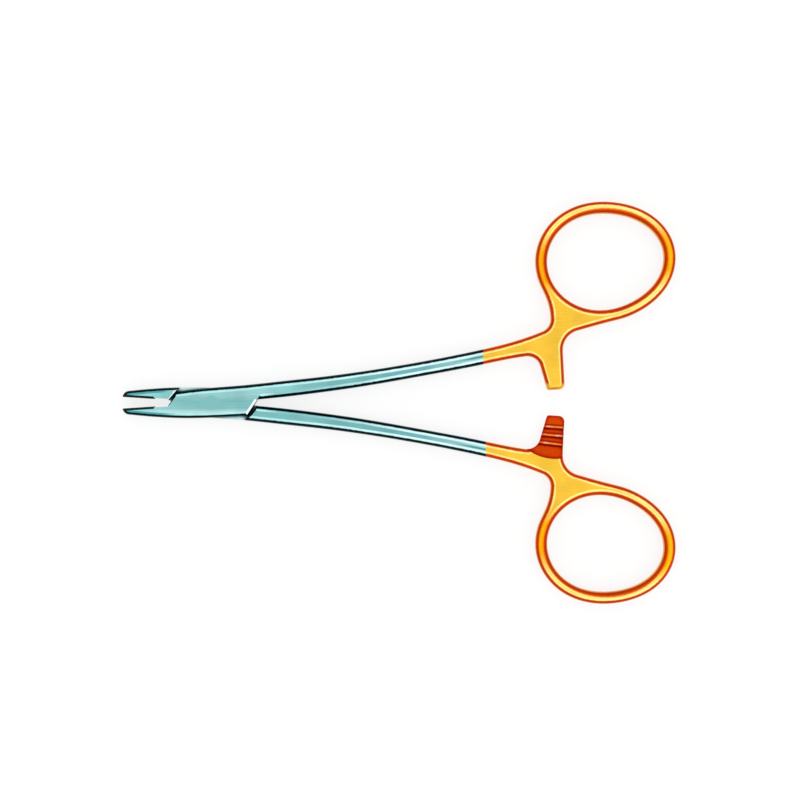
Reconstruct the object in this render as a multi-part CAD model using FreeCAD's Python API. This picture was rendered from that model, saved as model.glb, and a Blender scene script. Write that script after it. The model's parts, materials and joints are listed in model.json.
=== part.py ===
import FreeCAD, Part

import math
import os

# A small needle holder with a box lock, in millimetres. The pivot axis is Z through the origin, the box
# rests on z = 0, the finger rings lie towards +X and the jaws towards -X.
# Each forged half is drawn as it lies with the jaws shut and its ring towards +Y. The tongue half is drawn
# the same way up, turned over about X, and then each half is turned by half of the opening.

# Opening at which the instrument lies
REST_OPENING = 7.2

# Box lock: two cheeks on the box half with the tongue of the other half between them
BOX_THICKNESS = 4.6
TONGUE_THICKNESS = 1.84
TONGUE_CLEARANCE = 0.03
BOX_FRONT = -9.66
BOX_REAR = 10.28
BOX_END_ANGLE = 53.0
SLOT_WALL_X = 9.66
SLOT_WALL_ANGLE = 23.0
SLOT_WALL_CLEARANCE = 0.06
SHOULDER_CLEARANCE = 0.08
BEVEL_WIDTH = 0.5
BEVEL_DEPTH = 0.3

# Pivot pin, riveted into both cheeks and ground flush
PIN_DIAMETER = 2.4
PIN_HEAD_DIAMETER = 3.3
PIN_HEAD_DEPTH = 0.5
PIN_CLEARANCE = 0.03

# Jaws and box, seen from above: distance from the axis to the outer side at each x
JAW_NOSE_X = -20.2
JAW_SIDE = [
    (-18.9, 1.5),
    (-16.9, 1.83),
    (-13.3, 2.36),
]
BOX_SIDE = [
    (-9.7, 2.8),
    (-5.2, 3.18),
    (0.0, 3.38),
    (7.5, 3.5),
]
JAW_TIP_THICKNESS = 2.3
JAW_TAPER_END = -3.0
JAW_GAP = 0.04
JAW_RELIEF = 0.25

# Hard inserts brazed into the jaws
INSERT_LENGTH = 7.25
INSERT_THICKNESS = 0.56

# Shank, seen from above: centre line and width at each x
SHANK_STATIONS = [
    (15.6, 2.04, 3.62),
    (24.6, 2.5, 3.52),
    (33.7, 3.17, 3.42),
    (47.4, 4.6, 3.26),
    (61.0, 6.36, 3.36),
    (68.0, 7.47, 3.62),
]
SHANK_THICKNESS = 3.4
SHANK_TAPER_START = 12.5
SHANK_TAPER_END = 34.0
SHANK_PART_LINE = 0.05

# Where the shank opens into the finger ring and the ratchet arm
NECK_CORNER = (77.3, 12.05)
NECK_SIDE = (77.9, 16.5)
NECK_HANDLE = 3.0
NECK_RADIUS = 3.0
TAIL_SIDE = (84.5, 11.3)
TAIL_HANDLE = 3.5
ARM_OUTER_CORNER = (79.8, 10.2)
ARM_OUTER_RADIUS = 4.5
ARM_INNER_CORNER = (73.9, 6.1)
ARM_INNER_RADIUS = 3.0
ARM_TIP_Y = -1.95
ARM_TIP_X = (75.7, 79.65)
ARM_TIP_RADII = (0.6, 1.3)

# Finger ring: an ellipse drawn slightly towards a rounded triangle, as it is forged
RING_CENTRE = (90.4, 26.3)
RING_HOLE_LENGTH = 26.3
RING_HOLE_WIDTH = 21.7
RING_TILT = 2.4
RING_BULGE = 0.0195
RING_BULGE_ANGLE = 9.2
RING_STOCK = 2.7
RING_POINTS = 24
RING_TAIL_ANGLE = -82.0
RING_NECK_ANGLE = 197.0

# Ratchet: sawteeth milled across the arm, on lines that meet at the pivot
RATCHET_GAP = 0.1
RATCHET_MILL_CENTRE = (77.4, -2.6)
RATCHET_MILL_RADIUS = 10.4
TOOTH_COUNT = 3
TOOTH_DEPTH = 0.6
TOOTH_LAND = 0.35
TOOTH_FIRST_ANGLE = 0.68
TOOTH_PITCH_ANGLE = 1.4
TOOTH_RADIUS = 77.5
TOOTH_LENGTH = 12.0

# Rounding of the long edges that a hand or a glove touches
HANDLE_EDGE_RADIUS = 1.2
BODY_EDGE_RADIUS = 1.05
RING_HOLE_EDGE_RADIUS = 1.4

# Body metal that runs on beside the inner edge of the handle, so that its rounding stays buried
SEAM_OVERLAP = 1.7

# Half of the angle over which the direction of the ring is taken
RING_STEP_ANGLE = 0.5

# Distance below which a point counts as being on a line, and lean below which a face counts as upright
TOLERANCE = 0.01
UPRIGHT_ANGLE = 3.0

# Space that the cutting shapes take beyond the metal
CLEAR = 8.0

MID = BOX_THICKNESS / 2
PIN_RADIUS = PIN_DIAMETER / 2
UP = FreeCAD.Vector(0, 0, 1)


def at(x, y, z=0.0):
    return FreeCAD.Vector(x, y, z)


def line(start, end):
    return Part.LineSegment(start, end).toShape()


def spline(points):
    curve = Part.BSplineCurve()
    curve.interpolate(points)
    return curve.toShape()


def end_tangents(edge):
    return edge.tangentAt(edge.FirstParameter), edge.tangentAt(edge.LastParameter)


def bezier(points):
    curve = Part.BezierCurve()
    curve.setPoles(points)
    return curve.toShape()


def prism(edges, low, high):
    wire = Part.Wire(Part.__sortEdges__(edges))
    face = Part.Face(wire)
    return face.translated(UP * low).extrude(UP * (high - low))


def polygon_prism(points, low, high):
    corners = [at(x, y) for x, y in points]
    edges = [line(a, b) for a, b in zip(corners, corners[1:] + corners[:1])]
    return prism(edges, low, high)


def full_height(points):
    return polygon_prism(points, -CLEAR, BOX_THICKNESS + CLEAR)


# Finger ring

def ring_point(degrees, offset):
    def hole(angle):
        turned = angle - math.radians(RING_TILT)
        across = math.hypot(math.cos(turned) / RING_HOLE_LENGTH, math.sin(turned) / RING_HOLE_WIDTH)
        bulge = 1 + RING_BULGE * math.cos(3 * (angle - math.radians(RING_BULGE_ANGLE)))
        radius = bulge / (2 * across)
        return at(*RING_CENTRE) + at(radius * math.cos(angle), radius * math.sin(angle))

    angle = math.radians(degrees)
    step = math.radians(RING_STEP_ANGLE)
    along = hole(angle + step) - hole(angle - step)
    along.normalize()
    return hole(angle) + at(along.y, -along.x) * offset


def ring_hole():
    points = [ring_point(360.0 * i / RING_POINTS, 0) for i in range(RING_POINTS)]
    curve = Part.BSplineCurve()
    curve.interpolate(points, PeriodicFlag=True)
    return prism([curve.toShape()], -CLEAR, BOX_THICKNESS + CLEAR)


def ring_outer():
    span = RING_TAIL_ANGLE - RING_NECK_ANGLE
    angles = [RING_NECK_ANGLE + span * i / RING_POINTS for i in range(RING_POINTS + 1)]
    return [ring_point(angle, RING_STOCK) for angle in angles]


# Outlines seen from above

def shank_side(side):
    centres = [at(x, y) for x, y, width in SHANK_STATIONS]
    widths = [width for x, y, width in SHANK_STATIONS]
    before = centres[:1] + centres[:-1]
    after = centres[1:] + centres[-1:]
    points = []
    for centre, width, last, following in zip(centres, widths, before, after):
        along = following - last
        along.normalize()
        points.append(centre + at(-along.y, along.x) * (side * width / 2))
    return points


def handle_edges():
    outer = [at(x, y) for x, y in BOX_SIDE] + shank_side(1) + [at(*NECK_CORNER)]
    inner_x = [outer[0].x, 0.0, -BOX_FRONT]
    inner = [at(x, SHANK_PART_LINE) for x in inner_x] + shank_side(-1) + [at(*ARM_INNER_CORNER)]
    ring = spline(ring_outer())
    ring_start, ring_end = (v.Point for v in ring.Vertexes)
    start_way, end_way = end_tangents(ring)
    tail_corner = at(*ARM_OUTER_CORNER)
    tip = [at(ARM_TIP_X[1], ARM_TIP_Y), at(ARM_TIP_X[0], ARM_TIP_Y)]
    return [
        spline(outer),
        bezier([outer[-1], at(*NECK_SIDE), ring_start - start_way * NECK_HANDLE, ring_start]),
        ring,
        bezier([ring_end, ring_end + end_way * TAIL_HANDLE, at(*TAIL_SIDE), tail_corner]),
        line(tail_corner, tip[0]),
        line(tip[0], tip[1]),
        line(tip[1], inner[-1]),
        spline(inner),
        line(inner[0], outer[0]),
    ]


def body_edges():
    # the nose arc is tangent to the flat nose and to the side of the jaw
    top = SHANK_PART_LINE + SEAM_OVERLAP
    rear = SHANK_STATIONS[0][0]
    side = spline([at(x, -y) for x, y in JAW_SIDE + BOX_SIDE] + [at(rear, -SHANK_STATIONS[0][2])])
    way = end_tangents(side)[0]
    inward = at(-way.y, way.x)
    first = at(JAW_SIDE[0][0], -JAW_SIDE[0][1])
    radius = (first.x - JAW_NOSE_X) / (1 - inward.x)
    centre = first + inward * radius
    middle = inward + at(1, 0)
    middle.normalize()
    nose = at(JAW_NOSE_X, centre.y)
    end = side.Vertexes[-1].Point
    return [
        line(at(JAW_NOSE_X, top), nose),
        Part.Arc(nose, centre - middle * radius, first).toShape(),
        side,
        line(end, at(rear, top)),
        line(at(rear, top), at(JAW_NOSE_X, top)),
    ]


# Thickness seen from the side

def side_profile():
    length = RING_CENTRE[0] + RING_HOLE_LENGTH
    front = JAW_NOSE_X - CLEAR
    tip = JAW_TIP_THICKNESS / 2
    box = BOX_THICKNESS / 2
    shank = SHANK_THICKNESS / 2
    third = (JAW_TAPER_END - JAW_NOSE_X) / 3
    half = (SHANK_TAPER_END - SHANK_TAPER_START) / 2
    edges = []
    for side in (1, -1):
        def point(x, height):
            return at(x, 0, MID + side * height)

        edges += [
            line(point(front, tip), point(JAW_NOSE_X, tip)),
            bezier([point(JAW_NOSE_X, tip), point(JAW_NOSE_X + third, (tip + box) / 2),
                    point(JAW_TAPER_END - third, box), point(JAW_TAPER_END, box)]),
            line(point(JAW_TAPER_END, box), point(SHANK_TAPER_START, box)),
            bezier([point(SHANK_TAPER_START, box), point(SHANK_TAPER_START + half, box),
                    point(SHANK_TAPER_END - half, shank), point(SHANK_TAPER_END, shank)]),
            line(point(SHANK_TAPER_END, shank), point(length, shank)),
        ]
    edges.append(line(at(front, 0, MID - tip), at(front, 0, MID + tip)))
    edges.append(line(at(length, 0, MID - shank), at(length, 0, MID + shank)))
    face = Part.Face(Part.Wire(Part.__sortEdges__(edges)))
    width = RING_CENTRE[1] + RING_HOLE_WIDTH
    return face.translated(at(0, -width)).extrude(at(0, 2 * width))


# Rounding

def upright_edges(shape, corners):
    found = []
    for x, y in corners:
        for edge in shape.Edges:
            ends = [v.Point for v in edge.Vertexes]
            if len(ends) == 2 and all(math.hypot(p.x - x, p.y - y) < TOLERANCE for p in ends):
                found.append(edge)
    return found


def is_upright(face):
    u0, u1, v0, v1 = face.ParameterRange
    return abs(face.normalAt((u0 + u1) / 2, (v0 + v1) / 2).z) < math.sin(math.radians(UPRIGHT_ANGLE))


def rim_edges(shape, plain_lines):
    # edges between a side and the upper or lower surface, without those that lie on a plain line
    found = []
    for edge in shape.Edges:
        faces = shape.ancestorsOfType(edge, Part.Face)
        if sorted(is_upright(face) for face in faces) != [False, True]:
            continue
        middle = edge.valueAt((edge.FirstParameter + edge.LastParameter) / 2)
        foot = Part.Vertex(middle.x, middle.y, 0)
        if all(foot.distToShape(plain)[0] > TOLERANCE for plain in plain_lines):
            found.append(edge)
    return found


def rounded(shape, radius, plain_lines):
    return shape.makeFillet(radius, rim_edges(shape, plain_lines))


# Forged blanks

def handle_blank():
    edges = handle_edges()
    blank = prism(edges, -CLEAR, BOX_THICKNESS + CLEAR)
    for corner, radius in (
        (NECK_CORNER, NECK_RADIUS),
        (ARM_OUTER_CORNER, ARM_OUTER_RADIUS),
        (ARM_INNER_CORNER, ARM_INNER_RADIUS),
        ((ARM_TIP_X[0], ARM_TIP_Y), ARM_TIP_RADII[0]),
        ((ARM_TIP_X[1], ARM_TIP_Y), ARM_TIP_RADII[1]),
    ):
        blank = blank.makeFillet(radius, upright_edges(blank, [corner]))
    blank = blank.common(side_profile()).Solids[0]
    blank = rounded(blank, HANDLE_EDGE_RADIUS, edges[-1:]).cut(ring_hole())
    hole_rims = [edge for edge in blank.Edges if edge.isClosed()]
    return blank.makeFillet(RING_HOLE_EDGE_RADIUS, hole_rims)


def body_blank():
    edges = body_edges()
    blank = prism(edges, -CLEAR, BOX_THICKNESS + CLEAR).common(side_profile())
    return rounded(blank.Solids[0], BODY_EDGE_RADIUS, edges[-2:])


# Box lock: slant is +1 for the box half and -1 for the tongue half, which lies turned over

def end_line(x, y, slant):
    return (x + slant * y / math.tan(math.radians(BOX_END_ANGLE)), y)


def wall_line(x, y):
    return (x - math.copysign(1, x) * abs(y) / math.tan(math.radians(SLOT_WALL_ANGLE)), y)


def trimmed_body(slant):
    rear = full_height([
        end_line(BOX_REAR, -CLEAR, slant),
        (SHANK_STATIONS[1][0], -CLEAR),
        (SHANK_STATIONS[1][0], CLEAR),
        end_line(BOX_REAR, CLEAR, slant),
    ])
    return body_blank().cut(rear)


def bevels(x, slant, side, low, high):
    # small bevel along a box end or shoulder, above and below
    foot = at(*end_line(x, low, slant))
    along = at(*end_line(x, high, slant)) - foot
    across = at(-along.y, along.x).normalize() * side
    cuts = []
    for level, way in ((BOX_THICKNESS, -1), (0.0, 1)):
        corner = foot + UP * level
        inward = UP * (way * BEVEL_DEPTH)
        outward = across * BEVEL_WIDTH
        points = [corner - outward * 2 - inward, corner + outward + inward * 2, corner + outward - inward]
        wire = Part.makePolygon(points + points[:1])
        cuts.append(Part.Face(wire).extrude(along))
    return cuts


def slot():
    gap = SLOT_WALL_CLEARANCE / math.sin(math.radians(SLOT_WALL_ANGLE))
    wall = SLOT_WALL_X + gap
    half = TONGUE_THICKNESS / 2 + TONGUE_CLEARANCE
    far = SHANK_STATIONS[0][0]
    points = [
        (-far, CLEAR),
        (-far, 0),
        (-wall, 0),
        wall_line(-wall, -CLEAR),
        (far, -CLEAR),
        (far, SHANK_PART_LINE),
        wall_line(wall, SHANK_PART_LINE),
        wall_line(wall, CLEAR),
    ]
    return polygon_prism(points, MID - half, MID + half)


def pivot_pin():
    head = PIN_HEAD_DIAMETER / 2
    pin = Part.makeCylinder(PIN_RADIUS, BOX_THICKNESS)
    lower = Part.makeCone(head, PIN_RADIUS, PIN_HEAD_DEPTH)
    upper = Part.makeCone(PIN_RADIUS, head, PIN_HEAD_DEPTH, at(0, 0, BOX_THICKNESS - PIN_HEAD_DEPTH))
    return pin.fuse([lower, upper]).removeSplitter()


# Jaws

def insert_space(overrun):
    rear = JAW_NOSE_X + INSERT_LENGTH
    face = -JAW_GAP / 2
    return full_height([
        (JAW_NOSE_X - CLEAR, face - INSERT_THICKNESS),
        (rear, face - INSERT_THICKNESS),
        (rear, face + overrun),
        (JAW_NOSE_X - CLEAR, face + overrun),
    ])


def jaw_relief():
    rear = JAW_NOSE_X + INSERT_LENGTH
    return full_height([
        (rear - INSERT_THICKNESS, -JAW_RELIEF),
        end_line(BOX_FRONT, -JAW_RELIEF, 1),
        end_line(BOX_FRONT, 0, 1),
        (rear - INSERT_THICKNESS, 0),
    ])


# Ratchet, on the underside of the arm as it is drawn

def ratchet_cuts():
    crest = MID + RATCHET_GAP / 2
    mill = Part.makeCylinder(
        RATCHET_MILL_RADIUS, crest + CLEAR, at(RATCHET_MILL_CENTRE[0], RATCHET_MILL_CENTRE[1], -CLEAR)
    )
    cuts = [mill]
    start = TOOTH_RADIUS - TOOTH_LENGTH / 2
    rise = TOOTH_RADIUS * math.radians(TOOTH_PITCH_ANGLE) - TOOTH_LAND
    points = [
        at(start, 0, crest - TOOTH_DEPTH),
        at(start, 0, crest + TOOTH_DEPTH),
        at(start, rise, crest),
        at(start, rise, crest - TOOTH_DEPTH),
    ]
    notch = Part.Face(Part.makePolygon(points + points[:1])).extrude(at(TOOTH_LENGTH, 0))
    for i in range(TOOTH_COUNT):
        angle = TOOTH_FIRST_ANGLE + i * TOOTH_PITCH_ANGLE
        cuts.append(notch.rotated(at(0, 0), UP, angle))
    return cuts


# Pieces, drawn with the jaws shut

def box_half():
    front = full_height([
        (JAW_NOSE_X - CLEAR, -JAW_GAP / 2),
        end_line(BOX_FRONT, -JAW_GAP / 2, 1),
        end_line(BOX_FRONT, CLEAR, 1),
        (JAW_NOSE_X - CLEAR, CLEAR),
    ])
    half = trimmed_body(1).fuse(handle_blank()).removeSplitter()
    cuts = [front, insert_space(CLEAR), jaw_relief(), slot(), pivot_pin()]
    cuts += bevels(BOX_FRONT, 1, 1, 0, CLEAR)
    cuts += bevels(BOX_REAR, 1, -1, -CLEAR, 0)
    return half.cut(cuts + ratchet_cuts())


def tongue_half():
    gap = SHOULDER_CLEARANCE / math.sin(math.radians(BOX_END_ANGLE))
    front = BOX_FRONT - gap
    rear = BOX_REAR + gap
    over = [
        end_line(front, -CLEAR, -1),
        end_line(rear, -CLEAR, -1),
        end_line(rear, CLEAR, -1),
        end_line(front, CLEAR, -1),
    ]
    half_tongue = TONGUE_THICKNESS / 2
    above = polygon_prism(over, MID + half_tongue, BOX_THICKNESS + CLEAR)
    below = polygon_prism(over, -CLEAR, MID - half_tongue)
    beside_front = full_height([
        (JAW_NOSE_X - CLEAR, -JAW_GAP / 2),
        (-SLOT_WALL_X, -JAW_GAP / 2),
        (-SLOT_WALL_X, 0),
        wall_line(-SLOT_WALL_X, CLEAR),
        (JAW_NOSE_X - CLEAR, CLEAR),
    ])
    beside_rear = full_height([
        (SLOT_WALL_X, 0),
        wall_line(SLOT_WALL_X, -CLEAR),
        (SHANK_STATIONS[1][0], -CLEAR),
        (SHANK_STATIONS[1][0], 0),
    ])
    hole = Part.makeCylinder(PIN_RADIUS + PIN_CLEARANCE, BOX_THICKNESS)
    half = trimmed_body(-1).fuse(handle_blank()).removeSplitter()
    cuts = [above, below, beside_front, beside_rear, insert_space(CLEAR), jaw_relief(), hole]
    cuts += bevels(front, -1, -1, -CLEAR, 0)
    cuts += bevels(rear, -1, 1, 0, CLEAR)
    return half.cut(cuts + ratchet_cuts())


def jaw_insert():
    return body_blank().common(insert_space(0))


# Placing

def placed(shape, turned_over):
    opening = REST_OPENING / 2
    if turned_over:
        shape = shape.rotated(at(0, 0, MID), at(1, 0), 180)
        opening = -opening
    return shape.rotated(at(0, 0), UP, opening)


def main():
    os.makedirs("parts", exist_ok=True)
    pieces = {
        "box_half": placed(box_half(), False),
        "tongue_half": placed(tongue_half(), True),
        "pivot_pin": placed(pivot_pin(), False),
        "box_jaw_insert": placed(jaw_insert(), False),
        "tongue_jaw_insert": placed(jaw_insert(), True),
    }
    for name, shape in pieces.items():
        box = shape.BoundBox
        print(name, "valid", shape.isValid(), "solids", len(shape.Solids), "mm3", round(shape.Volume, 2),
              "box", [round(v, 2) for v in (box.XMin, box.YMin, box.ZMin, box.XMax, box.YMax, box.ZMax)])
        shape.exportStep("parts/" + name + ".step")


main()
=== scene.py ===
import json
import math

import bmesh
import bpy
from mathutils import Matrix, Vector


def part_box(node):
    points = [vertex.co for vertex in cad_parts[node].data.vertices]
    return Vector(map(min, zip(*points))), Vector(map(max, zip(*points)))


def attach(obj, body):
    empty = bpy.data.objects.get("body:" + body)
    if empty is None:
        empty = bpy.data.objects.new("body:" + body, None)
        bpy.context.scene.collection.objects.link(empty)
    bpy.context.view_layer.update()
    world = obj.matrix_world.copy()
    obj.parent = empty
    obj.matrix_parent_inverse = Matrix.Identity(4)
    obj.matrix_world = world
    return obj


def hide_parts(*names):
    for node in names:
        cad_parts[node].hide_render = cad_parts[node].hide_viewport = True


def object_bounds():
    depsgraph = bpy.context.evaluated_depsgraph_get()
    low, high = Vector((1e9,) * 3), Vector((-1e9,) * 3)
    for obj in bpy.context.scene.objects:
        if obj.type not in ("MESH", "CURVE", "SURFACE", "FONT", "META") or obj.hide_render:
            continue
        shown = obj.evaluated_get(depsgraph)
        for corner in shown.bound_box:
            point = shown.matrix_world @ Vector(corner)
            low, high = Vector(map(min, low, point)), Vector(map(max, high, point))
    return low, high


# Needle holder with gold plated rings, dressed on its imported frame.
# The scene is in metres, and sizes in mm are multiplied by mm where they are used. The pivot is the
# Z axis, the jaws point to -X and the rings to +X.

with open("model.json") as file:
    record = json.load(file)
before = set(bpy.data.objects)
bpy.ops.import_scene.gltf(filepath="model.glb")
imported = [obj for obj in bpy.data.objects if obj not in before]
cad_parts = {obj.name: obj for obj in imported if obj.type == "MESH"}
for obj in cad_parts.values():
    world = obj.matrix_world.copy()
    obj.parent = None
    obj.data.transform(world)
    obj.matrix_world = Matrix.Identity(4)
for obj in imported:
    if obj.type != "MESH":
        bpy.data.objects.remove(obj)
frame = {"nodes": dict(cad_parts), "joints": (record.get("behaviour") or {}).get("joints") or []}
nodes = frame["nodes"]
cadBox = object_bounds()
mm = 0.001
halfOpening = math.radians(-frame["joints"][0]["range_deg"][0] / 2)  # each half is turned by this at rest
print("frame loaded:", ", ".join(sorted(nodes)))


def hexColour(code):
    # sRGB hex to linear RGBA
    channels = [int(code[i:i + 2], 16) / 255 for i in (1, 3, 5)]
    return [c / 12.92 if c <= 0.04045 else ((c + 0.055) / 1.055) ** 2.4 for c in channels] + [1.0]


def perMillimetre(size):
    # scale of a noise whose blotches are this many millimetres wide
    return 1 / (size * mm)


def addNode(tree, kind, values=None, links=None, stops=None, **settings):
    # one shader node with its settings, socket values, incoming links and ramp stops. Map Range reads
    # between sockets 1 and 2 and gives between 3 and 4. Mix has its share at 0, numbers at 2 and 3 and
    # colours at 6 and 7
    new = tree.nodes.new(kind)
    for key, value in settings.items():
        setattr(new, key, value)
    for key, value in (values or {}).items():
        new.inputs[key].default_value = value
    for key, source in (links or {}).items():
        tree.links.new(source, new.inputs[key])
    if stops:
        elements = new.color_ramp.elements
        for i, (position, colour) in enumerate(stops):
            element = elements[i] if i < 2 else elements.new(position)  # a new ramp has two stops already
            element.position = position
            element.color = hexColour(colour) if isinstance(colour, str) else (colour, colour, colour, 1.0)
    return new


def tones(finish, stops):
    # ramp stops with each tone's name turned into its colour
    return [(position, finish[tone]) for position, tone in stops]


def newMaterial(name):
    material = bpy.data.materials.new(name)
    material.use_nodes = True
    material.node_tree.nodes.clear()
    return material, material.node_tree


# Forged halves: stainless steel, satin brushed, with the rings gold plated

steel = {
    "flat": "#7FBDBC",          # cool satin face, as the photo shows it
    "flatShank": "#74B1B6",     # the same along the shanks, a little darker and bluer
    "rolled": "#D9FAFB",        # start of the rounded edges: painted highlight, the bright ring above mirrored there
    "rolledLock": "#B2F0EF",    # the same painted highlight round the box lock, less bright
    "turn": "#02161A",          # turn between face and side: painted dark reflection of the dim horizon
    "side": "#5C8C8F",          # steep sides: painted shade, lighter than the turn
    "shankFrom": 15.0,          # tones of the lock give way to those of the shanks between these along X, in mm
    "shankTo": 40.0,
    "dim": "#4FA7A9",           # painted shade on the outer edges of the jaws and the inner ones of the crotch
    "dimTilt": 0.12,            # how far such an edge leans before it is fully dim
    "dimAlong": [               # X in mm and share
        (-20, 1.0), (-11, 1.0), (-7, 0.0), (12.5, 0.0), (15, 0.6), (22, 0.6), (45, 0.0),
    ],
    "faceTones": [              # how far a face looks up, 1 when it is flat, and its tone there: painted highlight and shade by facing
        (0.0, "side"), (0.25, "side"), (0.42, "turn"), (0.88, "turn"), (1.0, "flat"),
    ],
    "rolledShares": [           # the same, and how much of the painted rolled highlight lies over it
        (0.0, 0.0), (0.88, 0.0), (0.935, 1.0), (0.99, 1.0), (1.0, 0.0),
    ],
    "flatFrom": 0.985,          # a face that looks up this far starts to count as flat
    "roughness": 0.24,
    "brushWidth": 0.25,         # real scratches are finer; this is as fine as the picture can show
    "brushLength": 5.0,
    "brushDepth": 0.01,
    "brushBump": 0.25,
    "streak": (0.94, 1.06),     # brush marks make the metal this much darker and brighter
    "cloud": 5.0,               # mm across the faint cloudiness of a handled surface
    "cloudy": (0.92, 1.1),
    "cloudDull": 0.08,          # added roughness where it is cloudiest
    "shine": "#CBEDEF",         # painted highlight on the thin end of the shanks next to the plating, and on the box faces
    "shineFrom": 48.0,          # where that starts and ends along X, in mm
    "shineTo": 62.0,
    "shineMost": 0.75,
}
spine = {
    "tone": "#3F9A93",          # painted dark reflection along the middle of the thin end
    "alongX": 59.5,             # a point on that line and its slope, mirrored for the other half, in mm
    "acrossY": 10.08,
    "slope": 0.2,
    "core": 0.1,                # mm to each side where it is full, and where it has faded out
    "edge": 0.34,
    "start": 54.0,              # where it begins and is full along X, in mm
    "full": 58.5,
}
gold = {
    "flat": "#FAC740",
    # rolled: painted highlight of the rounded edges, as on the steel
    "rolled": "#FFEE92",
    "warm": "#F58A22",          # where the face turns over, the plate mirrors itself and goes orange
    # turn and side: painted dark reflection and shade of the steep edges
    "turn": "#CC3E0A",
    "side": "#E39A26",
    "faceTones": [
        (0.0, "side"), (0.3, "side"), (0.5, "turn"), (0.87, "turn"),
        (0.925, "warm"), (0.955, "rolled"), (0.98, "rolled"), (0.995, "flat"),
    ],
    "bowFlat": "#FFBF1E",       # ends of the ring bows, where the stock runs across the light: deeper orange
    "bowRolled": "#FAA006",
    "bowWarm": "#EC7E06",
    "bowTones": [
        (0.0, "side"), (0.3, "side"), (0.5, "turn"), (0.86, "turn"),
        (0.91, "bowWarm"), (0.955, "bowRolled"), (0.99, "bowFlat"),
    ],
    "milled": "#D64608",        # unpolished floor of the ratchet, much redder: rougher plate, with painted shade of the sunk floor
    "milledDull": 0.15,         # added roughness there
    "crest": "#FFA440",         # painted highlight on the crests of the teeth, palest in its brightest patches
    "crestGlint": "#FFE6B4",
    # root: painted shadow of the tooth walls and of the milled floor's edges
    "root": "#B01600",
    "roughness": 0.2,
    "startUpper": 61.2,         # where the plating begins along X, in mm
    "startLower": 61.8,
    "startFade": (-0.02, 0.1),  # mm from there between which it comes in
    "ragged": 0.12,             # mm that its edge wanders
}
ratchet = {
    "millCentre": (77.4, -2.6),  # as drawn with the jaws shut and the ring up, mirrored for the other half
    "millRadius": 10.42,        # a hair past the cutter's own
    "reach": 0.8,               # mm that the milled floor and teeth keep to, above and below the middle
    "firstTooth": 0.68,         # degrees about the pivot, from the line between the arms
    "toothPitch": 1.4,
    "toothMiddle": 0.88,        # middle of the row, in teeth from there, and how many it reaches to each side
    "toothSpan": 1.36,
    "slopeTones": [             # share of a tooth, from its root, and its tone there: painted shadow beside the walls
        (0.0, "root"), (0.06, "root"), (0.22, "milled"), (0.42, "milled"), (0.56, "root"), (1.0, "root"),
    ],
    "crestHighlight": [                 # the same, and how much painted highlight lies on the crest
        (0.0, 0.0), (0.7, 0.0), (0.77, 1.0), (0.88, 1.0), (0.96, 0.0),
    ],
    "glintPatch": 1.6,           # mm along a crest, of the brightest patches of the painted highlight
    "glintTones": [(0.48, "crest"), (0.64, "crestGlint")],
    "glintFrom": 2.6,            # tooth steps between which the painted highlight grows towards the tip of the arm
    "glintTo": 0.9,
    "glintLeast": 0.74,
    "glintMost": 1.2,
    "rim": 1.7,                 # mm within which painted shade darkens the milled floor towards its edges
    "rimTurn": (0.86, 0.985),   # how closely the rounded normal keeps to the true one, at the edge and inside
    "endFrom": 4.6,             # end of the plain arm, where the flat tone covers the painted dark edge, between these along Y in mm
    "endTo": 3.9,
    "endMost": 0.8,
}
ringBow = {
    "centre": (90.4, 26.3),     # as drawn with the jaws shut and the ring up, mirrored for the other half
    "tilt": 2.4,                # degrees that its long axis is turned from X
    "halfLength": 14.4,         # to the middle of the bow's stock
    "halfWidth": 12.1,
    "lean": 0.054,              # how much sooner the painted shade reddens the plate on the finger side of the far arc
    "leanTail": 0.02,           # the same on the near arc, which runs into the shank
    "leanFrom": -0.5,           # from the near to the far arc, as a share of the half width
    "leanTo": 0.3,
    "innerFrom": 0.96,          # across the stock, 1 at its middle: the finger side fades out between these
    "innerTo": 1.03,
    "endFrom": 0.8,             # share of the half length at which the bow's ends start, and are full
    "endTo": 0.96,
}
lock = {
    "reach": 12.0,              # mm on each side of the pivot, and where its finish has faded out
    "fadeTo": 22.0,
    "middle": 2.3,              # half the height of the instrument, in mm
    "halfTongue": 0.92,         # half the thickness of the tongue
    "tongueSheen": "#CDF0F2",          # painted highlight on both faces of the tongue
    "slidReach": 0.1,           # mm above and below those faces
    "bevel": "#E6FBFB",         # painted highlight on the ground bevels that look towards the rings
    "bevelFacing": (0.25, 0.35),
    "bevelUp": (0.6, 0.75),     # how far they look up, so that the steep walls stay out
    "sheen": [                  # painted highlight on the box faces: Y in mm and share
        (-4.0, 0.8), (-2.1, 0.75), (-1.3, 0.06), (0.4, 0.0), (1.8, 0.3), (4.0, 0.35),
    ],
    "tip": -19.7,               # nose of the jaws fades from painted shade here along X, in mm
    "tipLength": 1.3,
    "gapShade": "#050A0B",         # painted shade in the narrow gaps of the box lock
    "gapShadeReach": 1.5,
    "gapShadeOpen": (0.4, 0.88),   # how open a place is where the painted shade is full, and where it ends
}
noiseSpan = (0.3, 0.7)          # between these lie nearly all values of a noise


def atRest(point, side):
    # a point drawn with the jaws shut and its ring up, where it lies in its half at rest
    angle = side * halfOpening
    x, y = point[0], side * point[1]
    return x * math.cos(angle) - y * math.sin(angle), x * math.sin(angle) + y * math.cos(angle)


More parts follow.
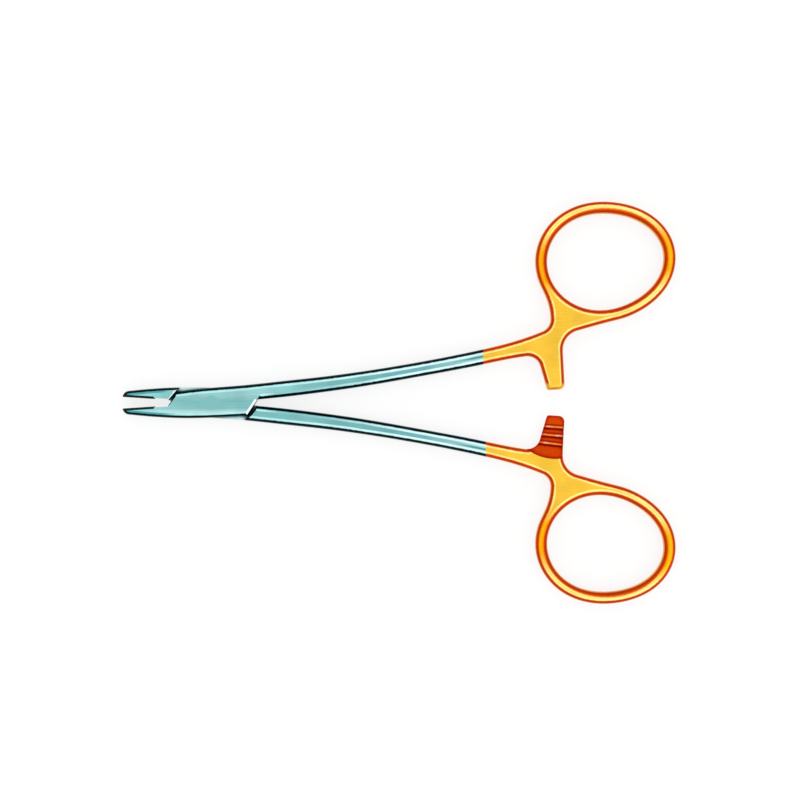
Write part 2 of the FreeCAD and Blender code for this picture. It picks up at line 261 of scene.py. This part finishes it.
def forgedMaterial(name, side):
    # satin forged stainless steel with gold plate beyond the mask: cool grey faces with painted highlights
    # where they start to roll over, painted dark turns, and warm yellow gold whose painted shade goes orange
    # and red towards its sides
    material, tree = newMaterial(name)
    place = addNode(tree, "ShaderNodeTexCoord")
    xyz = addNode(tree, "ShaderNodeSeparateXYZ", links={0: place.outputs["Object"]})
    tilt = addNode(tree, "ShaderNodeSeparateXYZ", links={0: place.outputs["Normal"]})
    upright = addNode(tree, "ShaderNodeMath", links={0: tilt.outputs["Z"]}, operation="ABSOLUTE")

    # brush marks along the shank, and a slow cloudiness from handling
    brushSpace = addNode(tree, "ShaderNodeMapping", links={0: place.outputs["Object"]}, values={
        "Scale": (perMillimetre(steel["brushLength"]), perMillimetre(steel["brushWidth"]),
                  perMillimetre(steel["brushWidth"])),
    })
    brush = addNode(tree, "ShaderNodeTexNoise", links={0: brushSpace.outputs[0]},
                    values={"Scale": 1.0, "Detail": 3.0, "Roughness": 0.6})
    cloud = addNode(tree, "ShaderNodeTexNoise", links={0: place.outputs["Object"]},
                    values={"Scale": perMillimetre(steel["cloud"]), "Detail": 4.0})

    # finger side of the ring bows, where the painted shade comes sooner
    ringX, ringY = atRest(ringBow["centre"], side)
    ringSpace = addNode(tree, "ShaderNodeMapping", vector_type="TEXTURE", links={0: place.outputs["Object"]},
                        values={
                            "Location": (ringX * mm, ringY * mm, 0),
                            "Rotation": (0, 0, side * (halfOpening + math.radians(ringBow["tilt"]))),
                            "Scale": (ringBow["halfLength"] * mm, ringBow["halfWidth"] * mm, 1),
                        })
    ringReach = addNode(tree, "ShaderNodeVectorMath", operation="LENGTH", links={0: ringSpace.outputs[0]})
    ringWay = addNode(tree, "ShaderNodeVectorMath", operation="NORMALIZE", links={0: ringSpace.outputs[0]})
    ringXyz = addNode(tree, "ShaderNodeSeparateXYZ", links={0: ringWay.outputs[0]})
    lean = addNode(tree, "ShaderNodeMapRange", links={0: ringXyz.outputs[1]}, values={
        1: side * ringBow["leanFrom"], 2: side * ringBow["leanTo"],
        3: -ringBow["leanTail"], 4: -ringBow["lean"],
    })
    fingerSide = addNode(tree, "ShaderNodeMapRange", links={0: ringReach.outputs["Value"], 3: lean.outputs[0]},
                         values={1: ringBow["innerFrom"], 2: ringBow["innerTo"], 4: 0.0})
    leaned = addNode(tree, "ShaderNodeMath", operation="ADD",
                     links={0: upright.outputs[0], 1: fingerSide.outputs[0]})

    # ends of the ring bows, where the plate mirrors less of the light
    endwise = addNode(tree, "ShaderNodeMath", operation="ABSOLUTE", links={0: ringXyz.outputs[0]})
    bowEnd = addNode(tree, "ShaderNodeMapRange", links={0: endwise.outputs[0]},
                     values={1: ringBow["endFrom"], 2: ringBow["endTo"]})

    # painted highlight and shade: where the face tilts, its colour runs through rolled, turn and side
    steelFace = addNode(tree, "ShaderNodeValToRGB", links={0: upright.outputs[0]},
                        stops=tones(steel, steel["faceTones"]))
    rolledShare = addNode(tree, "ShaderNodeValToRGB", links={0: upright.outputs[0]},
                          stops=steel["rolledShares"])
    nearLock = addNode(tree, "ShaderNodeMapRange", links={0: xyz.outputs[0]},
                       values={1: steel["shankTo"] * mm, 2: steel["shankFrom"] * mm})
    rolledTone = addNode(tree, "ShaderNodeMix", data_type="RGBA", links={0: nearLock.outputs[0]},
                         values={6: hexColour(steel["rolled"]), 7: hexColour(steel["rolledLock"])})
    awaySide = addNode(tree, "ShaderNodeMapRange", links={0: tilt.outputs[1]},
                       values={1: 0.0, 2: -side * steel["dimTilt"]})
    start, end = steel["dimAlong"][0][0], steel["dimAlong"][-1][0]
    along = addNode(tree, "ShaderNodeMapRange", links={0: xyz.outputs[0]}, values={1: start * mm, 2: end * mm})
    dimAlong = addNode(tree, "ShaderNodeValToRGB", links={0: along.outputs[0]},
                       stops=[((x - start) / (end - start), share) for x, share in steel["dimAlong"]])
    dimShare = addNode(tree, "ShaderNodeMath", operation="MULTIPLY",
                       links={0: awaySide.outputs[0], 1: dimAlong.outputs[0]})
    rolledAll = addNode(tree, "ShaderNodeMix", data_type="RGBA", values={7: hexColour(steel["dim"])},
                        links={0: dimShare.outputs[0], 6: rolledTone.outputs[2]})
    steelTone = addNode(tree, "ShaderNodeMix", data_type="RGBA",
                        links={0: rolledShare.outputs[0], 6: steelFace.outputs[0], 7: rolledAll.outputs[2]})
    goldFace = addNode(tree, "ShaderNodeValToRGB", links={0: leaned.outputs[0]},
                       stops=tones(gold, gold["faceTones"]))
    goldEnd = addNode(tree, "ShaderNodeValToRGB", links={0: leaned.outputs[0]},
                      stops=tones(gold, gold["bowTones"]))
    goldTone = addNode(tree, "ShaderNodeMix", data_type="RGBA",
                       links={0: bowEnd.outputs[0], 6: goldFace.outputs[0], 7: goldEnd.outputs[0]})

    # painted highlight on the flat of the shank towards the plating, where it is narrowest, and a painted dark
    # line
    flatness = addNode(tree, "ShaderNodeMapRange", links={0: upright.outputs[0]},
                       values={1: steel["flatFrom"], 2: 1.0})
    shineRise = addNode(tree, "ShaderNodeMapRange", links={0: xyz.outputs[0]}, values={
        1: steel["shineFrom"] * mm, 2: steel["shineTo"] * mm, 4: steel["shineMost"],
    })
    shineShare = addNode(tree, "ShaderNodeMath", operation="MULTIPLY",
                         links={0: flatness.outputs[0], 1: shineRise.outputs[0]})
    onShank = addNode(tree, "ShaderNodeMapRange", links={0: xyz.outputs[0]},
                      values={1: steel["shankFrom"] * mm, 2: steel["shankTo"] * mm})
    shankShare = addNode(tree, "ShaderNodeMath", operation="MULTIPLY",
                         links={0: flatness.outputs[0], 1: onShank.outputs[0]})
    shankTone = addNode(tree, "ShaderNodeMix", data_type="RGBA", values={7: hexColour(steel["flatShank"])},
                        links={0: shankShare.outputs[0], 6: steelTone.outputs[2]})
    shineTone = addNode(tree, "ShaderNodeMix", data_type="RGBA", values={7: hexColour(steel["shine"])},
                        links={0: shineShare.outputs[0], 6: shankTone.outputs[2]})
    spineLevel = addNode(tree, "ShaderNodeMath", operation="MULTIPLY_ADD", links={0: xyz.outputs[0]}, values={
        1: -spine["slope"], 2: (spine["slope"] * spine["alongX"] - spine["acrossY"]) * mm,
    })
    offSpine = addNode(tree, "ShaderNodeMath", operation="MULTIPLY_ADD",
                       links={0: xyz.outputs[1], 2: spineLevel.outputs[0]}, values={1: side})
    fromSpine = addNode(tree, "ShaderNodeMath", operation="ABSOLUTE", links={0: offSpine.outputs[0]})
    onSpine = addNode(tree, "ShaderNodeMapRange", links={0: fromSpine.outputs[0]},
                      values={1: spine["edge"] * mm, 2: spine["core"] * mm})
    spineRise = addNode(tree, "ShaderNodeMapRange", links={0: xyz.outputs[0]},
                        values={1: spine["start"] * mm, 2: spine["full"] * mm})
    spineShare = addNode(tree, "ShaderNodeMath", operation="MULTIPLY",
                         links={0: onSpine.outputs[0], 1: spineRise.outputs[0]})
    shined = addNode(tree, "ShaderNodeMix", data_type="RGBA", values={7: hexColour(spine["tone"])},
                     links={0: spineShare.outputs[0], 6: shineTone.outputs[2]})

    # box lock: painted highlights on the faces of the tongue, and on the bevels on the side that looks at the
    # rings
    fromPivot = addNode(tree, "ShaderNodeMath", operation="ABSOLUTE", links={0: xyz.outputs[0]})
    inLock = addNode(tree, "ShaderNodeMapRange", links={0: fromPivot.outputs[0]},
                     values={1: lock["fadeTo"] * mm, 2: lock["reach"] * mm})
    fromMiddle = addNode(tree, "ShaderNodeMath", operation="SUBTRACT", links={0: xyz.outputs[2]},
                         values={1: lock["middle"] * mm})
    offMiddle = addNode(tree, "ShaderNodeMath", operation="ABSOLUTE", links={0: fromMiddle.outputs[0]})
    slidLevel = addNode(tree, "ShaderNodeMath", operation="COMPARE", links={0: offMiddle.outputs[0]},
                        values={1: lock["halfTongue"] * mm, 2: lock["slidReach"] * mm})
    slidFlat = addNode(tree, "ShaderNodeMath", operation="MULTIPLY",
                       links={0: slidLevel.outputs[0], 1: flatness.outputs[0]})
    tongueSheen = addNode(tree, "ShaderNodeMath", operation="MULTIPLY",
                   links={0: slidFlat.outputs[0], 1: inLock.outputs[0]})
    tongueSheenTone = addNode(tree, "ShaderNodeMix", data_type="RGBA", values={7: hexColour(lock["tongueSheen"])},
                       links={0: tongueSheen.outputs[0], 6: shined.outputs[2]})
    towardsRings = addNode(tree, "ShaderNodeMapRange", links={0: tilt.outputs[0]},
                           values={1: lock["bevelFacing"][0], 2: lock["bevelFacing"][1]})
    notSteep = addNode(tree, "ShaderNodeMapRange", links={0: upright.outputs[0]},
                       values={1: lock["bevelUp"][0], 2: lock["bevelUp"][1]})
    bevelled = addNode(tree, "ShaderNodeMath", operation="MULTIPLY",
                       links={0: towardsRings.outputs[0], 1: notSteep.outputs[0]})
    bevelShare = addNode(tree, "ShaderNodeMath", operation="MULTIPLY",
                         links={0: bevelled.outputs[0], 1: inLock.outputs[0]})
    lockTone = addNode(tree, "ShaderNodeMix", data_type="RGBA", values={7: hexColour(lock["bevel"])},
                       links={0: bevelShare.outputs[0], 6: tongueSheenTone.outputs[2]})

    # painted highlight on the faces of the box and its jaw, brighter towards their edges
    start, end = lock["sheen"][0][0], lock["sheen"][-1][0]
    across = addNode(tree, "ShaderNodeMapRange", links={0: xyz.outputs[1]}, values={1: start * mm, 2: end * mm})
    sheenAcross = addNode(tree, "ShaderNodeValToRGB", links={0: across.outputs[0]}, stops=[
        ((y - start) / (end - start), share if side > 0 else 0.0) for y, share in lock["sheen"]
    ])
    sheenFlat = addNode(tree, "ShaderNodeMath", operation="MULTIPLY",
                         links={0: sheenAcross.outputs[0], 1: flatness.outputs[0]})
    sheenShare = addNode(tree, "ShaderNodeMath", operation="MULTIPLY",
                          links={0: sheenFlat.outputs[0], 1: inLock.outputs[0]})
    sheenTone = addNode(tree, "ShaderNodeMix", data_type="RGBA", values={7: hexColour(steel["shine"])},
                        links={0: sheenShare.outputs[0], 6: lockTone.outputs[2]})

    # painted shade on the nose of the jaw
    tipShade = addNode(tree, "ShaderNodeMapRange", links={0: xyz.outputs[0]},
                       values={1: lock["tip"] * mm, 2: (lock["tip"] + lock["tipLength"]) * mm})
    steelAll = addNode(tree, "ShaderNodeMix", data_type="RGBA", values={6: hexColour(steel["turn"])},
                       links={0: tipShade.outputs[0], 7: sheenTone.outputs[2]})

    # redder, unpolished gold with painted shade on the milled floor of the ratchet
    millX, millY = atRest(ratchet["millCentre"], side)
    flatPlace = addNode(tree, "ShaderNodeCombineXYZ", links={0: xyz.outputs[0], 1: xyz.outputs[1]})
    away = addNode(tree, "ShaderNodeVectorMath", links={0: flatPlace.outputs[0]}, operation="DISTANCE",
                   values={1: (millX * mm, millY * mm, 0)})
    inMill = addNode(tree, "ShaderNodeMath", links={0: away.outputs["Value"]}, operation="LESS_THAN",
                     values={1: ratchet["millRadius"] * mm})
    height = addNode(tree, "ShaderNodeMath", links={0: xyz.outputs[2]}, operation="COMPARE",
                     values={1: lock["middle"] * mm, 2: ratchet["reach"] * mm})
    milled = addNode(tree, "ShaderNodeMath", operation="MULTIPLY",
                     links={0: inMill.outputs[0], 1: height.outputs[0]})

    # painted highlights on the crests of the teeth and painted shadow beside their walls, on lines that meet at
    # the pivot
    swing = addNode(tree, "ShaderNodeMath", operation="ARCTAN2", links={0: xyz.outputs[1], 1: xyz.outputs[0]})
    drawn = addNode(tree, "ShaderNodeMath", operation="MULTIPLY_ADD", links={0: swing.outputs[0]},
                    values={1: side, 2: -halfOpening - math.radians(ratchet["firstTooth"])})
    toothStep = addNode(tree, "ShaderNodeMath", operation="DIVIDE", links={0: drawn.outputs[0]},
                        values={1: math.radians(ratchet["toothPitch"])})
    inTooth = addNode(tree, "ShaderNodeMath", operation="FRACT", links={0: toothStep.outputs[0]})
    slopes = addNode(tree, "ShaderNodeValToRGB", links={0: inTooth.outputs[0]},
                     stops=tones(gold, ratchet["slopeTones"]))
    crestHighlight = addNode(tree, "ShaderNodeValToRGB", links={0: inTooth.outputs[0]}, stops=ratchet["crestHighlight"])
    glintNoise = addNode(tree, "ShaderNodeTexNoise", links={0: place.outputs["Object"]},
                   values={"Scale": perMillimetre(ratchet["glintPatch"]), "Detail": 1.0})
    glintAlong = addNode(tree, "ShaderNodeMapRange", links={0: toothStep.outputs[0]}, values={
        1: ratchet["glintFrom"], 2: ratchet["glintTo"], 3: ratchet["glintLeast"], 4: ratchet["glintMost"],
    })
    crestGlint = addNode(tree, "ShaderNodeMath", operation="MULTIPLY",
                   links={0: glintNoise.outputs[0], 1: glintAlong.outputs[0]})
    crest = addNode(tree, "ShaderNodeValToRGB", links={0: crestGlint.outputs[0]},
                    stops=tones(gold, ratchet["glintTones"]))
    toothTone = addNode(tree, "ShaderNodeMix", data_type="RGBA",
                        links={0: crestHighlight.outputs[0], 6: slopes.outputs[0], 7: crest.outputs[0]})
    reach = addNode(tree, "ShaderNodeMath", operation="COMPARE", links={0: toothStep.outputs[0]},
                    values={1: ratchet["toothMiddle"], 2: ratchet["toothSpan"]})
    millTone = addNode(tree, "ShaderNodeMix", data_type="RGBA",
                       links={0: reach.outputs[0], 7: toothTone.outputs[2]},
                       values={6: hexColour(gold["milled"])})
    # painted shade darkening the milled floor towards its edges
    softEdge = addNode(tree, "ShaderNodeBevel", values={"Radius": ratchet["rim"] * mm}, samples=6)
    trueFace = addNode(tree, "ShaderNodeNewGeometry")
    edgeTurn = addNode(tree, "ShaderNodeVectorMath", operation="DOT_PRODUCT",
                       links={0: softEdge.outputs[0], 1: trueFace.outputs["True Normal"]})
    rim = addNode(tree, "ShaderNodeMapRange", links={0: edgeTurn.outputs["Value"]},
                  values={1: ratchet["rimTurn"][0], 2: ratchet["rimTurn"][1]})
    millAll = addNode(tree, "ShaderNodeMix", data_type="RGBA",
                      links={0: rim.outputs[0], 7: millTone.outputs[2]},
                      values={6: hexColour(gold["root"])})
    # end of the plain arm: the flat tone painted over its painted dark edge
    armEnd = addNode(tree, "ShaderNodeMapRange", links={0: xyz.outputs[1]}, values={
        1: ratchet["endFrom"] * mm, 2: ratchet["endTo"] * mm, 4: ratchet["endMost"] if side > 0 else 0.0,
    })
    endTone = addNode(tree, "ShaderNodeMix", data_type="RGBA", values={7: hexColour(gold["flat"])},
                      links={0: armEnd.outputs[0], 6: goldTone.outputs[2]})
    goldAll = addNode(tree, "ShaderNodeMix", data_type="RGBA",
                      links={0: milled.outputs[0], 6: endTone.outputs[2], 7: millAll.outputs[2]})

    # edge of the plating, a hair uneven as masked plating is
    start = gold["startUpper"] if side > 0 else gold["startLower"]
    edgeNoise = addNode(tree, "ShaderNodeMath", links={0: brush.outputs[0], 2: xyz.outputs[0]},
                        operation="MULTIPLY_ADD", values={1: gold["ragged"] * mm})
    plated = addNode(tree, "ShaderNodeMapRange", links={0: edgeNoise.outputs[0]}, values={
        1: (start + gold["startFade"][0]) * mm, 2: (start + gold["startFade"][1]) * mm,
    })
    colour = addNode(tree, "ShaderNodeMix", data_type="RGBA",
                     links={0: plated.outputs[0], 6: steelAll.outputs[2], 7: goldAll.outputs[2]})
    streak = addNode(tree, "ShaderNodeMapRange", links={0: brush.outputs[0]}, values={
        1: noiseSpan[0], 2: noiseSpan[1], 3: steel["streak"][0], 4: steel["streak"][1],
    })
    cloudy = addNode(tree, "ShaderNodeMapRange", links={0: cloud.outputs[0]}, values={
        1: noiseSpan[0], 2: noiseSpan[1], 3: steel["cloudy"][0], 4: steel["cloudy"][1],
    })
    handled = addNode(tree, "ShaderNodeMath", operation="MULTIPLY",
                      links={0: streak.outputs[0], 1: cloudy.outputs[0]})
    streaked = addNode(tree, "ShaderNodeMix", data_type="RGBA", blend_type="MULTIPLY",
                       links={6: colour.outputs[2], 7: handled.outputs[0]}, values={0: 1.0})

    # painted shade in the narrow gaps of the box lock, none on the plating
    gap = addNode(tree, "ShaderNodeAmbientOcclusion", values={"Distance": lock["gapShadeReach"] * mm}, samples=8)
    unshaded = addNode(tree, "ShaderNodeMapRange", links={0: gap.outputs["AO"]},
                    values={1: lock["gapShadeOpen"][0], 2: lock["gapShadeOpen"][1]})
    unshadedAll = addNode(tree, "ShaderNodeMath", operation="MAXIMUM",
                       links={0: unshaded.outputs[0], 1: plated.outputs[0]})
    finish = addNode(tree, "ShaderNodeMix", data_type="RGBA", values={6: hexColour(lock["gapShade"])},
                     links={0: unshadedAll.outputs[0], 7: streaked.outputs[2]})

    # roughness: brushed steel, smoother plate, dull milled floor
    smooth = addNode(tree, "ShaderNodeMix", links={0: plated.outputs[0]},
                     values={2: steel["roughness"], 3: gold["roughness"]})
    dull = addNode(tree, "ShaderNodeMath", links={0: milled.outputs[0], 2: smooth.outputs[0]},
                   operation="MULTIPLY_ADD", values={1: gold["milledDull"]})
    roughness = addNode(tree, "ShaderNodeMath", links={0: cloud.outputs[0], 2: dull.outputs[0]},
                        operation="MULTIPLY_ADD", values={1: steel["cloudDull"]})
    bump = addNode(tree, "ShaderNodeBump", links={"Height": brush.outputs[0]},
                   values={"Strength": steel["brushBump"], "Distance": steel["brushDepth"] * mm})
    shader = addNode(tree, "ShaderNodeBsdfPrincipled", values={"Metallic": 1.0}, links={
        "Base Color": finish.outputs[2], "Roughness": roughness.outputs[0], "Normal": bump.outputs[0],
    })
    addNode(tree, "ShaderNodeOutputMaterial", links={0: shader.outputs[0]})
    return material


boxForging = forgedMaterial("satinStainlessWithGoldPlateUpper", 1)
tongueForging = forgedMaterial("satinStainlessWithGoldPlateLower", -1)
print("forging materials made")


# Pivot pin: ground flush and brushed with the box, so it hardly shows

pinSteel = {
    "ring": 0.12,               # mm between the turning rings
    "ringDepth": 0.005,
    "ringBump": 0.1,
    "dark": "#81BFBE",
    "light": "#86C5C4",
    "roughness": 0.28,
}


def pinMaterial():
    # ground stainless pin head: the same cool satin as the box, with turning rings too faint to stand out
    material, tree = newMaterial("groundStainlessPin")
    place = addNode(tree, "ShaderNodeTexCoord")
    waveLength = math.pi / 10  # of this texture at a scale of 1
    turned = addNode(tree, "ShaderNodeTexWave", wave_type="RINGS", rings_direction="Z",
                     links={0: place.outputs["Object"]},
                     values={"Scale": perMillimetre(pinSteel["ring"]) * waveLength, "Distortion": 1.0})
    tone = addNode(tree, "ShaderNodeValToRGB", links={0: turned.outputs[1]}, stops=[
        (0.0, pinSteel["dark"]), (1.0, pinSteel["light"]),
    ])
    bump = addNode(tree, "ShaderNodeBump", links={"Height": turned.outputs[1]},
                   values={"Strength": pinSteel["ringBump"], "Distance": pinSteel["ringDepth"] * mm})
    shader = addNode(tree, "ShaderNodeBsdfPrincipled",
                     values={"Metallic": 1.0, "Roughness": pinSteel["roughness"]},
                     links={"Base Color": tone.outputs[0], "Normal": bump.outputs[0]})
    addNode(tree, "ShaderNodeOutputMaterial", links={0: shader.outputs[0]})
    return material


# Jaw inserts: hard carbide strips with cross-hatched faces

insert = {
    "pitch": 0.45,              # mm between the grooves, cut both ways
    "depth": 0.1,
    "biteFacing": 0.999,        # a face that looks at the other jaw this squarely is cut
    "weld": 0.001,              # mm within which two points are one
    "cutSnap": 0.0001,          # mm within which a point lies on a cut
    "sharp": 20.0,              # degrees from which an edge stays sharp
    "dark": "#081616",
    "light": "#20383A",
    "grain": 0.06,
    "grainDepth": 0.01,
    "grainBump": 0.2,
    "grainTones": [(0.3, "dark"), (0.75, "light")],
    "roughness": (0.34, 0.5),
}


def carbideMaterial():
    # sintered carbide, ground: dark blue-green grey with a fine even grain
    material, tree = newMaterial("groundCarbide")
    place = addNode(tree, "ShaderNodeTexCoord")
    grain = addNode(tree, "ShaderNodeTexNoise", links={0: place.outputs["Object"]},
                    values={"Scale": perMillimetre(insert["grain"]), "Detail": 2.0})
    tone = addNode(tree, "ShaderNodeValToRGB", links={0: grain.outputs[0]},
                   stops=tones(insert, insert["grainTones"]))
    roughness = addNode(tree, "ShaderNodeMapRange", links={0: grain.outputs[0]}, values={
        1: noiseSpan[0], 2: noiseSpan[1], 3: insert["roughness"][0], 4: insert["roughness"][1],
    })
    bump = addNode(tree, "ShaderNodeBump", links={"Height": grain.outputs[0]},
                   values={"Strength": insert["grainBump"], "Distance": insert["grainDepth"] * mm})
    shader = addNode(tree, "ShaderNodeBsdfPrincipled", values={"Metallic": 1.0}, links={
        "Base Color": tone.outputs[0], "Roughness": roughness.outputs[0], "Normal": bump.outputs[0],
    })
    addNode(tree, "ShaderNodeOutputMaterial", links={0: shader.outputs[0]})
    return material


def hatchedInsert(nodeName, pieceName, body, side, material):
    # copy of the insert with crossed V grooves cut into its biting face
    work = bmesh.new()
    work.from_mesh(nodes[nodeName].data)
    bmesh.ops.remove_doubles(work, verts=work.verts, dist=insert["weld"] * mm)
    angle = side * halfOpening
    along = Vector((math.cos(angle), math.sin(angle), 0))
    facing = Vector((-math.sin(angle), math.cos(angle), 0)) * side
    up = Vector((0, 0, 1))
    work.normal_update()
    work.faces.layers.int.new("bite")
    bite = work.faces.layers.int["bite"]
    for face in work.faces:
        face[bite] = int(face.normal.dot(facing) > insert["biteFacing"])

    low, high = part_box(nodeName)
    middle = (low + high) / 2
    pitch = insert["pitch"] * mm
    slopeA = (along + up).normalized()
    slopeB = (along - up).normalized()
    reach = (high - low).length / 2
    # cuts along both ways of the grooves and through their crossings, so that each V has its own faces
    for direction, step in (
        (slopeA, pitch / 2), (slopeB, pitch / 2), (along, pitch / math.sqrt(2)), (up, pitch / math.sqrt(2)),
    ):
        for i in range(-int(reach / step), int(reach / step) + 1):
            faces = [f for f in work.faces if f[bite]]
            edges = {e for f in faces for e in f.edges}
            verts = {v for f in faces for v in f.verts}
            bmesh.ops.bisect_plane(work, geom=list(verts) + list(edges) + faces, dist=insert["cutSnap"] * mm,
                                   plane_co=middle + direction * (i * step), plane_no=direction)
    moved = {v for f in work.faces if f[bite] for v in f.verts}
    for vert in moved:
        out = vert.co - middle
        grooves = [abs((out.dot(slope) / pitch) % 1.0 - 0.5) for slope in (slopeA, slopeB)]
        vert.co -= facing * (insert["depth"] * mm * (1 - 2 * min(grooves)))
    bmesh.ops.triangulate(work, faces=[f for f in work.faces if len(f.verts) > 4])
    mesh = bpy.data.meshes.new(pieceName)
    work.to_mesh(mesh)
    work.free()
    mesh.shade_smooth()
    mesh.set_sharp_from_angle(angle=math.radians(insert["sharp"]))
    piece = bpy.data.objects.new(pieceName, mesh)
    bpy.context.scene.collection.objects.link(piece)
    mesh.materials.clear()
    mesh.materials.append(material)
    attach(piece, body)
    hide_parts(nodeName)
    return piece


carbide = carbideMaterial()
hatchedInsert("box_jaw_insert", "boxJawCarbideInsert", "box_side", 1, carbide)
hatchedInsert("tongue_jaw_insert", "tongueJawCarbideInsert", "tongue_side", -1, carbide)
print("inserts cross-hatched")


# Materials onto the frame's nodes

finishes = {
    "box_half": boxForging,
    "tongue_half": tongueForging,
    "pivot_pin": pinMaterial(),
    "box_jaw_insert": carbide,
    "tongue_jaw_insert": carbide,
}
for nodeName, material in finishes.items():
    slots = nodes[nodeName].data.materials
    if len(slots) == 0:
        slots.append(material)
    for i in range(len(slots)):
        slots[i] = material
print("finishes set")


# Floor, light and camera

studio = {
    "floorColour": "#848484",
    "floorSize": 6.0,           # in m
    "floorGap": 0.01,           # mm under the instrument
    "floorGlow": 0.79,          # lifts the lit floor to white, its shadow stays
    "zenith": 0.99,             # what the flat faces mirror
    "ring": 1.03,               # ring above, which lights the rolled edges
    "horizon": 0.6,
    "skyLevels": [              # height above the horizon, 1 straight up
        (0.0, "horizon"), (0.15, "horizon"), (0.45, "ring"), (0.95, "ring"), (0.99, "zenith"),
    ],
    "boxCentre": (0.36, -0.27, 0.3),    # broad soft lamp at the right, which catches the bevels, in m
    "boxSize": 0.6,
    "boxPower": 0.2,
}

floorMesh = bpy.data.meshes.new("paperFloor")
half = studio["floorSize"] / 2
corners = [(-half, -half, 0), (half, -half, 0), (half, half, 0), (-half, half, 0)]
floorMesh.from_pydata(corners, [], [(0, 1, 2, 3)])
floor = bpy.data.objects.new("paperFloor", floorMesh)
bpy.context.scene.collection.objects.link(floor)
floor.location.z = cadBox[0].z - studio["floorGap"] * mm

# white card: matt, with a glow that only the camera, mirrors and glass see
paper, tree = newMaterial("whiteCard")
lightPath = addNode(tree, "ShaderNodeLightPath")
seen = addNode(tree, "ShaderNodeMath", operation="MAXIMUM",
               links={0: lightPath.outputs["Is Camera Ray"], 1: lightPath.outputs["Is Glossy Ray"]})
seenAll = addNode(tree, "ShaderNodeMath", operation="MAXIMUM",
                  links={0: seen.outputs[0], 1: lightPath.outputs["Is Transmission Ray"]})
glow = addNode(tree, "ShaderNodeMath", operation="MULTIPLY",
               links={0: seenAll.outputs[0]}, values={1: studio["floorGlow"]})
card = addNode(tree, "ShaderNodeBsdfPrincipled",
               values={"Base Color": hexColour(studio["floorColour"]), "Roughness": 0.9,
                       "Specular IOR Level": 0.0, "Emission Color": (1, 1, 1, 1)},
               links={"Emission Strength": glow.outputs[0]})
addNode(tree, "ShaderNodeOutputMaterial", links={0: card.outputs[0]})
floorMesh.materials.append(paper)

# soft overhead light: a pale zenith, a brighter ring round it and a dim horizon
world = bpy.data.worlds.new("softStudio")
bpy.context.scene.world = world
world.use_nodes = True
tree = world.node_tree
tree.nodes.clear()
sky = addNode(tree, "ShaderNodeTexCoord")
height = addNode(tree, "ShaderNodeSeparateXYZ", links={0: sky.outputs["Generated"]})
peak = studio["ring"]  # a ramp ends at 1, so it holds shares of this
glowRamp = addNode(tree, "ShaderNodeValToRGB", links={0: height.outputs["Z"]},
                   stops=[(level, studio[band] / peak) for level, band in studio["skyLevels"]])
strength = addNode(tree, "ShaderNodeMath", operation="MULTIPLY",
                   links={0: glowRamp.outputs[0]}, values={1: peak})
back = addNode(tree, "ShaderNodeBackground", values={"Color": (1, 1, 1, 1)},
               links={"Strength": strength.outputs[0]})
addNode(tree, "ShaderNodeOutputWorld", links={0: back.outputs[0]})

softBox = bpy.data.objects.new("softBox", bpy.data.lights.new("softBox", "AREA"))
bpy.context.scene.collection.objects.link(softBox)
softBox.data.size = studio["boxSize"]
softBox.data.energy = studio["boxPower"]
softBox.location = studio["boxCentre"]
softBox.rotation_mode = "QUATERNION"
softBox.rotation_quaternion = Vector(studio["boxCentre"]).to_track_quat("Z", "Y")

view = {
    "centre": (42.45, 0.61),    # mm, middle of the photo's frame
    "width": 180.6,             # mm across the frame at the object
    "height": 2.3,              # mm, level at which that width is measured
    "lens": 100.0,
    "sensor": 36.0,
    "nearest": 10.0,            # mm from the camera that it still sees
}
camera = bpy.data.objects.new("photoCamera", bpy.data.cameras.new("photoCamera"))
bpy.context.scene.collection.objects.link(camera)
camera.data.lens = view["lens"]
camera.data.sensor_width = view["sensor"]
distance = view["width"] * view["lens"] / view["sensor"]
camera.location = (view["centre"][0] * mm, view["centre"][1] * mm, (view["height"] + distance) * mm)
camera.data.clip_start = view["nearest"] * mm
bpy.context.scene.camera = camera
bpy.context.scene.view_settings.view_transform = "Standard"
print("stage set")
